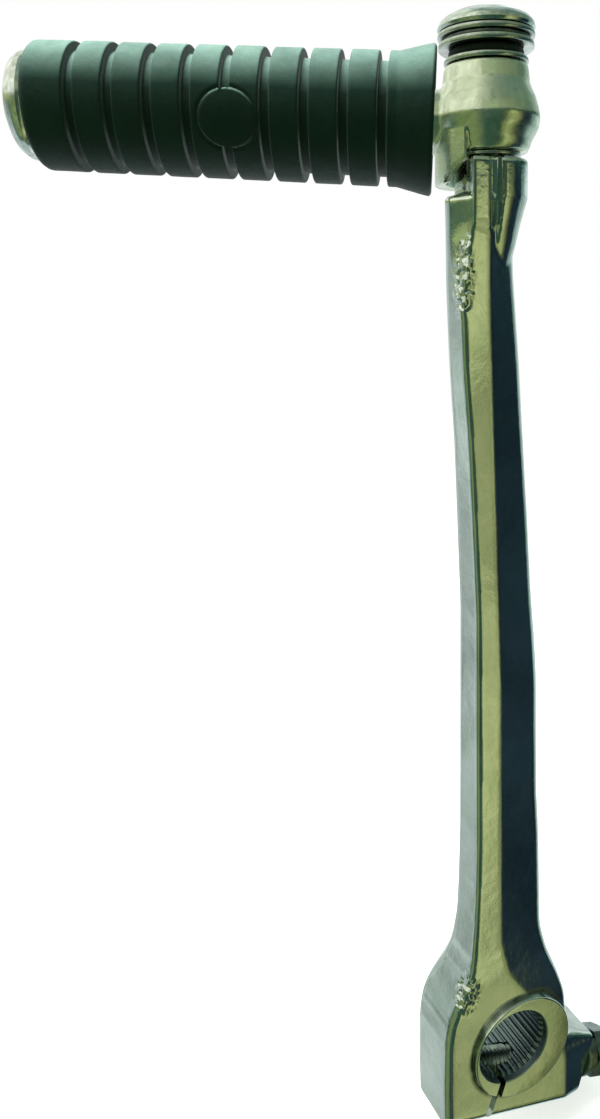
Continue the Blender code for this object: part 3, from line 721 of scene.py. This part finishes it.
def bore_and_collar_shade(s, colour, rough):
    """Unplated, oil-dark bore, and painted shade: a dark, noisy ring in the corner at the foot of the collar.
    """
    flat = s.node("ShaderNodeVectorMath", operation="MULTIPLY")
    s.link(s.place, flat.inputs[0])
    flat.inputs[1].default_value = (1.0, 0.0, 1.0)

    def away(centre):
        made = s.node("ShaderNodeVectorMath", operation="DISTANCE")
        s.link(flat.outputs[0], made.inputs[0])
        made.inputs[1].default_value = centre
        return made.outputs["Value"]

    inside = s.spread(away((0.0, 0.0, 0.0)), 0.01045, 0.01015)
    colour = s.mix(inside, colour, (0.17, 0.22, 0.23))
    rough = s.mix(inside, rough, (0.34, 0.34, 0.34))
    # Painted shade: the ring just outside the collar is darkened to stand in for the shade in the corner at
    # its foot.
    foot = away((COLLAR_AT[0] * MM, 0.0, COLLAR_AT[1] * MM))
    outer, inner = s.spread(foot, 0.0158, 0.0146), s.spread(foot, COLLAR_R * MM, COLLAR_R * MM + 0.0001)
    corner = s.node("ShaderNodeMath", operation="MULTIPLY")
    s.link(outer, corner.inputs[0])
    s.link(inner, corner.inputs[1])
    soft = s.node("ShaderNodeMath", operation="MULTIPLY")
    s.link(corner.outputs[0], soft.inputs[0])
    s.link(s.spread(s.grain(240.0, 4.0), 0.3, 0.6, 0.35, 0.95), soft.inputs[1])
    return s.mix(soft.outputs[0], colour, (0.05, 0.06, 0.04)), s.mix(soft.outputs[0], rough, (0.5, 0.5, 0.5))


def chrome(name, bright, dull, rough_low, rough_high, scale=260.0, peel=0.000012, hub=False):
    """Plated steel: cloudy tint, hazy roughness and a faint orange peel."""
    s = Shader(name)
    s.surface.inputs["Metallic"].default_value = 1.0
    cloud = s.grain(scale * 0.35, 3.0)
    haze = s.grain(scale * 1.6, 5.0, 0.6)
    colour = s.mix(s.spread(cloud, 0.35, 0.68), bright, dull)
    rough = s.spread(haze, 0.35, 0.7, rough_low, rough_high)
    if hub:
        # The hub gets its darker bore and the painted shade ring at the foot of the collar.
        colour, rough = bore_and_collar_shade(s, colour, rough)
    s.link(colour, s.surface.inputs["Base Color"])
    s.link(rough, s.surface.inputs["Roughness"])
    fine = s.bump(s.grain(scale * 6.0, 2.0), peel * 0.6)
    s.link(s.bump(cloud, peel * 6.0, 1.0, fine), s.surface.inputs["Normal"])
    return s.mat


def steel(name, bright, dull, rough_low, rough_high, scale=500.0):
    """Zinc-plated or blackened steel: mottled colour and haze."""
    s = Shader(name)
    s.surface.inputs["Metallic"].default_value = 1.0
    mottle = s.grain(scale, 6.0, 0.65)
    s.link(s.mix(s.spread(mottle, 0.38, 0.66), bright, dull), s.surface.inputs["Base Color"])
    s.link(s.spread(mottle, 0.35, 0.7, rough_low, rough_high), s.surface.inputs["Roughness"])
    s.link(s.bump(s.grain(scale * 3.0, 4.0), 0.00003), s.surface.inputs["Normal"])
    return s.mat


def rubber(name, dark, dusty, rough_low, rough_high, scale=900.0, painted_top_light=None):
    """Moulded rubber: matt pores, pale dust in patches, and a painted top light, a paler colour on what faces
    up.
    """
    s = Shader(name)
    dust_and_sheen = s.grain(scale * 0.09, 5.0, 0.7)
    pores = s.grain(scale * 2.6, 4.0, 0.7)
    colour = s.mix(s.spread(dust_and_sheen, 0.42, 0.75), dark, dusty)
    # Painted top light: faces that turn up are mixed towards a paler green that stands in for the overhead
    # light's sheen, broken up by the dust noise.
    if painted_top_light is not None:
        split = s.node("ShaderNodeSeparateXYZ")
        s.link(s.node("ShaderNodeTexCoord").outputs["Normal"], split.inputs[0])
        facing = s.spread(split.outputs["Z"], 0.22, 0.80)
        top_light_share = s.node("ShaderNodeMath", operation="MULTIPLY")
        s.link(facing, top_light_share.inputs[0])
        s.link(s.spread(dust_and_sheen, 0.25, 0.62, 0.45, 1.0), top_light_share.inputs[1])
        colour = s.mix(top_light_share.outputs[0], colour, painted_top_light)
    s.link(colour, s.surface.inputs["Base Color"])
    s.link(s.spread(pores, 0.3, 0.7, rough_low, rough_high), s.surface.inputs["Roughness"])
    s.surface.inputs["Specular IOR Level"].default_value = 0.24
    fine = s.bump(pores, 0.00006)
    s.link(s.bump(s.grain(scale * 0.35, 3.0), 0.00012, 1.0, fine), s.surface.inputs["Normal"])
    return s.mat


def give(obj, mat):
    """Makes the material the object's only one."""
    obj.data.materials.clear()
    obj.data.materials.append(mat)
    for polygon in obj.data.polygons:
        polygon.material_index = 0


# ---------------------------------------------------------------- world, floor, camera

TOWARD_VIEWER = (-0.552, -0.834, 0.0)
VIEWER_RIGHT = (0.834, -0.552, 0.0)

# What the plating mirrors at each height: turn in degrees from the viewer's direction, colour
LOW_BAND = (
    (-180, (0.95, 1.0, 1.0)), (-150, (0.74, 0.84, 0.84)), (-106, (0.56, 0.66, 0.65)),
    (-92, (0.40, 0.50, 0.47)), (-78, (0.07, 0.15, 0.11)), (-58, (0.24, 0.33, 0.15)),
    (-22, (0.26, 0.34, 0.15)), (-2, (0.06, 0.13, 0.10)), (44, (0.04, 0.09, 0.06)),
    (53, (0.34, 0.40, 0.16)), (62, (0.56, 0.62, 0.30)), (72, (0.40, 0.45, 0.19)),
    (82, (0.16, 0.19, 0.08)), (89, (0.018, 0.035, 0.05)), (112, (0.012, 0.03, 0.04)),
    (122, (0.30, 0.46, 0.45)), (140, (0.62, 0.78, 0.76)), (165, (0.9, 1.0, 1.0)),
)
HIGH_BAND = (
    (-180, (0.95, 1.0, 1.0)), (-150, (0.62, 0.72, 0.60)), (-132, (0.46, 0.54, 0.27)),
    (-70, (0.40, 0.49, 0.21)), (-36, (0.33, 0.40, 0.17)), (-20, (0.07, 0.13, 0.11)),
    (60, (0.03, 0.08, 0.07)), (128, (0.02, 0.06, 0.05)), (142, (0.16, 0.28, 0.24)),
    (158, (0.6, 0.75, 0.7)), (176, (0.95, 1.0, 1.0)),
)
RAISED_BAND = (
    (-180, (1.1, 1.15, 1.1)), (-135, (1.15, 1.2, 1.05)), (-25, (1.2, 1.25, 1.1)), (-5, (0.5, 0.6, 0.4)),
    (60, (0.30, 0.38, 0.24)), (120, (0.14, 0.24, 0.18)), (150, (0.5, 0.65, 0.6)), (178, (1.0, 1.1, 1.05)),
)
TOP_BAND = (
    (-180, (0.9, 1.0, 0.95)), (-120, (1.05, 1.1, 0.95)), (-25, (1.0, 1.05, 0.85)), (15, (0.36, 0.44, 0.34)),
    (90, (0.16, 0.26, 0.22)), (140, (0.20, 0.30, 0.27)), (165, (0.7, 0.8, 0.76)),
)
OVERHEAD = (0.34, 0.44, 0.38)


def build_world():
    """Studio around the lever: bands of pale and dark screens, slightly uneven, on a white ground."""
    world = bpy.data.worlds.new("studio")
    bpy.context.scene.world = world
    world.use_nodes = True
    tree = world.node_tree
    tree.nodes.clear()

    def node(kind, **values):
        made = tree.nodes.new(kind)
        for key, value in values.items():
            setattr(made, key, value)
        return made

    def dot(direction, vector):
        made = node("ShaderNodeVectorMath", operation="DOT_PRODUCT")
        tree.links.new(direction, made.inputs[0])
        made.inputs[1].default_value = vector
        return made.outputs["Value"]

    def math_node(operation, a, b):
        made = node("ShaderNodeMath", operation=operation)
        for value, socket in ((a, made.inputs[0]), (b, made.inputs[1])):
            if isinstance(value, float):
                socket.default_value = value
            else:
                tree.links.new(value, socket)
        return made.outputs[0]

    def ramp(position, stops):
        made = node("ShaderNodeValToRGB")
        elements = made.color_ramp.elements
        while len(elements) > 1:
            elements.remove(elements[-1])
        for index, (turn, colour) in enumerate(stops):
            at = (turn + 180.0) / 360.0
            element = elements[0] if index == 0 else elements.new(at)
            element.position = at
            element.color = (*colour, 1.0)
        tree.links.new(position, made.inputs["Fac"])
        return made.outputs["Color"]

    def step(value, low, high):
        made = node("ShaderNodeMapRange", interpolation_type="SMOOTHSTEP")
        made.inputs["From Min"].default_value = low
        made.inputs["From Max"].default_value = high
        tree.links.new(value, made.inputs["Value"])
        return made.outputs["Result"]

    def mix(share, first, second):
        made = node("ShaderNodeMix", data_type="RGBA")
        tree.links.new(share, made.inputs[0])
        for value, socket in ((first, made.inputs[6]), (second, made.inputs[7])):
            if isinstance(value, tuple):
                socket.default_value = (*value, 1.0)
            else:
                tree.links.new(value, socket)
        return made.outputs[2]

    direction = node("ShaderNodeTexCoord").outputs["Generated"]
    toward, right = dot(direction, TOWARD_VIEWER), dot(direction, VIEWER_RIGHT)
    up = dot(direction, (0.0, 0.0, 1.0))
    turn = math_node("MULTIPLY_ADD", math_node("ARCTAN2", right, toward), 1.0 / (2.0 * math.pi))
    turn.node.inputs[2].default_value = 0.5
    low, high = ramp(turn, LOW_BAND), ramp(turn, HIGH_BAND)
    colour = mix(step(up, 0.12, 0.16), low, high)
    colour = mix(step(up, 0.24, 0.30), colour, ramp(turn, RAISED_BAND))
    colour = mix(step(up, 0.56, 0.66), colour, ramp(turn, TOP_BAND))
    colour = mix(step(up, 0.90, 0.97), colour, OVERHEAD)
    cloud = node("ShaderNodeTexNoise")
    cloud.inputs["Scale"].default_value = 7.0
    cloud.inputs["Detail"].default_value = 4.0
    tree.links.new(direction, cloud.inputs["Vector"])
    uneven = node("ShaderNodeMapRange")
    for key, number in (("From Min", 0.36), ("From Max", 0.64), ("To Min", 0.62), ("To Max", 1.30)):
        uneven.inputs[key].default_value = number
    tree.links.new(cloud.outputs["Fac"], uneven.inputs["Value"])
    scaled = node("ShaderNodeVectorMath", operation="SCALE")
    tree.links.new(colour, scaled.inputs[0])
    tree.links.new(uneven.outputs["Result"], scaled.inputs["Scale"])
    colour = scaled.outputs[0]
    light = node("ShaderNodeBackground")
    tree.links.new(colour, light.inputs["Color"])
    white = node("ShaderNodeBackground")
    white.inputs["Color"].default_value = (1.0, 1.0, 1.0, 1.0)
    pick = node("ShaderNodeMixShader")
    tree.links.new(node("ShaderNodeLightPath").outputs["Is Camera Ray"], pick.inputs[0])
    tree.links.new(light.outputs[0], pick.inputs[1])
    tree.links.new(white.outputs[0], pick.inputs[2])
    tree.links.new(pick.outputs[0], node("ShaderNodeOutputWorld").inputs["Surface"])


def build_floor():
    """Pale plain floor below the hub."""
    size, level = 1500.0, -33.0
    rows = [[(-size, y, level), (size, y, level)] for y in (-size, size)]
    floor = grid_object("floor", rows, close_rows=False, cap=False)
    s = Shader("pale_floor")
    s.surface.inputs["Base Color"].default_value = (0.8, 0.8, 0.8, 1.0)
    s.surface.inputs["Roughness"].default_value = 0.9
    s.surface.inputs["Emission Color"].default_value = (1.0, 1.0, 1.0, 1.0)
    s.surface.inputs["Emission Strength"].default_value = 0.62
    give(floor, s.mat)
    floor.visible_glossy = False
    floor.visible_diffuse = False


def build_light():
    """Soft rectangular light above and behind."""
    light = bpy.data.lights.new("softbox", "AREA")
    light.shape = "RECTANGLE"
    light.size, light.size_y = 0.34, 0.22
    light.energy = 5.0
    obj = bpy.data.objects.new("softbox", light)
    obj.visible_glossy = False
    bpy.context.scene.collection.objects.link(obj)
    obj.location = (-0.07, 0.09, 0.62)
    aim = Vector((-0.03, 0.02, 0.2)) - obj.location
    obj.rotation_euler = aim.to_track_quat("-Z", "Y").to_euler()


def build_camera():
    """Camera in front of the lever to its left, looking a little down; a tall frame of 600 by 1119."""
    spot = Vector((-105.113, -167.204, 182.104)) * MM
    yaw, pitch, roll = -0.467, -0.264, 0.018
    focal, middle = 893.899, (412.756, 549.841)
    width, height = 600.0, 1119.0
    turn = Matrix.Rotation(yaw, 3, "Z") @ Matrix.Rotation(pitch, 3, "X") @ Matrix.Rotation(roll, 3, "Y")
    turn = turn @ Matrix.Rotation(math.pi / 2, 3, "X")
    camera = bpy.data.cameras.new("camera")
    camera.sensor_width = 36.0
    camera.lens = focal * camera.sensor_width / height
    camera.shift_x = (width / 2 - middle[0]) / height
    camera.shift_y = (middle[1] - height / 2) / height
    camera.clip_start, camera.clip_end = 0.005, 20.0
    obj = bpy.data.objects.new("camera", camera)
    obj.matrix_world = Matrix.Translation(spot) @ turn.to_4x4()
    bpy.context.scene.collection.objects.link(obj)
    bpy.context.scene.camera = obj


# ---------------------------------------------------------------- assembly

def place(obj, body, nodes, slot, mat):
    """Finishes a visible piece: its material, body and the solids it stands for; the slot is not used."""
    give(obj, mat)
    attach(obj, body)
    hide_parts(*nodes)


def main():
    """Makes the materials and every visible piece, then the studio."""
    arm_mat = chrome("arm_plating", (0.64, 0.67, 0.62), (0.52, 0.57, 0.50), 0.06, 0.15, peel=0.000024,
                     hub=True)
    pedal_mat = chrome("pedal_plating", (0.68, 0.71, 0.58), (0.54, 0.60, 0.46), 0.16, 0.30, peel=0.00003)
    cap_mat = chrome("cap_plating", (0.68, 0.70, 0.68), (0.58, 0.62, 0.58), 0.10, 0.22)
    pin_mat = chrome("pin_plating", (0.62, 0.66, 0.62), (0.50, 0.56, 0.50), 0.08, 0.18)
    washer_mat = steel("washer_zinc", (0.55, 0.58, 0.55), (0.42, 0.46, 0.42), 0.12, 0.30)
    spring_mat = steel("spring_steel", (0.20, 0.22, 0.21), (0.12, 0.14, 0.13), 0.25, 0.45)
    bolt_mat = steel("bolt_steel", (0.24, 0.29, 0.27), (0.13, 0.17, 0.16), 0.22, 0.45)
    ball_mat = chrome("ball_steel", (0.65, 0.66, 0.65), (0.58, 0.6, 0.58), 0.05, 0.1)
    seal_mat = rubber("seal_rubber", (0.010, 0.020, 0.017), (0.02, 0.035, 0.03), 0.45, 0.6)
    # Foot rubber with a painted top light: a paler green on the faces that turn up.
    foot_mat = rubber("foot_rubber", (0.004, 0.024, 0.018), (0.007, 0.036, 0.027), 0.42, 0.60,
                      painted_top_light=(0.17, 0.28, 0.24))

    pivot, bolt = pivot_matrix(), bolt_matrix()
    place(build_arm(), "lever", ["lever_arm"], "arm_chrome", arm_mat)
    place(build_knuckle(), "pedal", ["pedal_knuckle"], "pedal_chrome", pedal_mat)
    foot = build_rubber()
    foot.visible_glossy = False
    place(foot, "pedal", ["pedal_rubber"], "foot_rubber", foot_mat)
    place(build_end_cap(), "pedal", ["pedal_end_cap"], "cap_chrome", cap_mat)
    place(build_pin(), "lever", ["pivot_pin"], "pin_chrome", pin_mat)
    rings = (
        ("thrust_washer", "lower_washer", 4.3, 7.1, 211.15, 211.75, "washer_steel", washer_mat, 0.12),
        ("barrel_washer", "upper_washer", 4.3, 8.4, 228.2, 229.2, "washer_steel", washer_mat, 0.3),
        ("seal_ring", "dust_seal", 4.3, 7.5, 229.35, 230.75, "seal_rubber", seal_mat, 0.5),
        ("wide_washer", "cup_washer", 4.3, 9.5, 230.9, 232.0, "washer_steel", washer_mat, 0.3),
        ("snap_ring", "retaining_ring", 4.3, 8.8, 232.15, 232.65, "spring_steel", spring_mat, 0.1),
        ("head_washer", "cap_washer", 4.3, 9.6, 232.8, 233.8, "washer_steel", washer_mat, 0.3),
    )
    for name, node, inner, outer, low, high, slot, mat, soft in rings:
        place(washer(name, inner, outer, low, high, pivot, soft), "lever", [node], slot, mat)
    place(build_bolt(), "lever", ["pinch_bolt"], "bolt_steel", bolt_mat)
    place(build_split_washer(), "lever", ["pinch_spring_washer"], "washer_steel", spring_mat)
    flat = washer("flat_washer", 4.3, 6.5, LUG_END + 0.15, LUG_END + 1.65, bolt, 0.15)
    place(flat, "lever", ["pinch_flat_washer"], "washer_steel", bolt_mat)
    lock = fillet([(0.0, -5.3), (1.25, -5.3), (1.25, 4.6), (0.0, 4.6)], [0, 0.3, 0.3, 0], closed=False)
    place(finish_shading(revolve("cross_pin", lock, cross_matrix(LOCK_Z), 48)), "lever", ["pivot_lock_pin"],
          "spring_steel", bolt_mat)
    for name, mat in (("detent_ball", ball_mat), ("detent_spring", spring_mat)):
        give(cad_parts[name], mat)
        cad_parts[name].data.shade_smooth()

    build_world()
    build_floor()
    build_light()
    build_camera()
    bpy.context.scene.view_settings.view_transform = "Standard"


main()
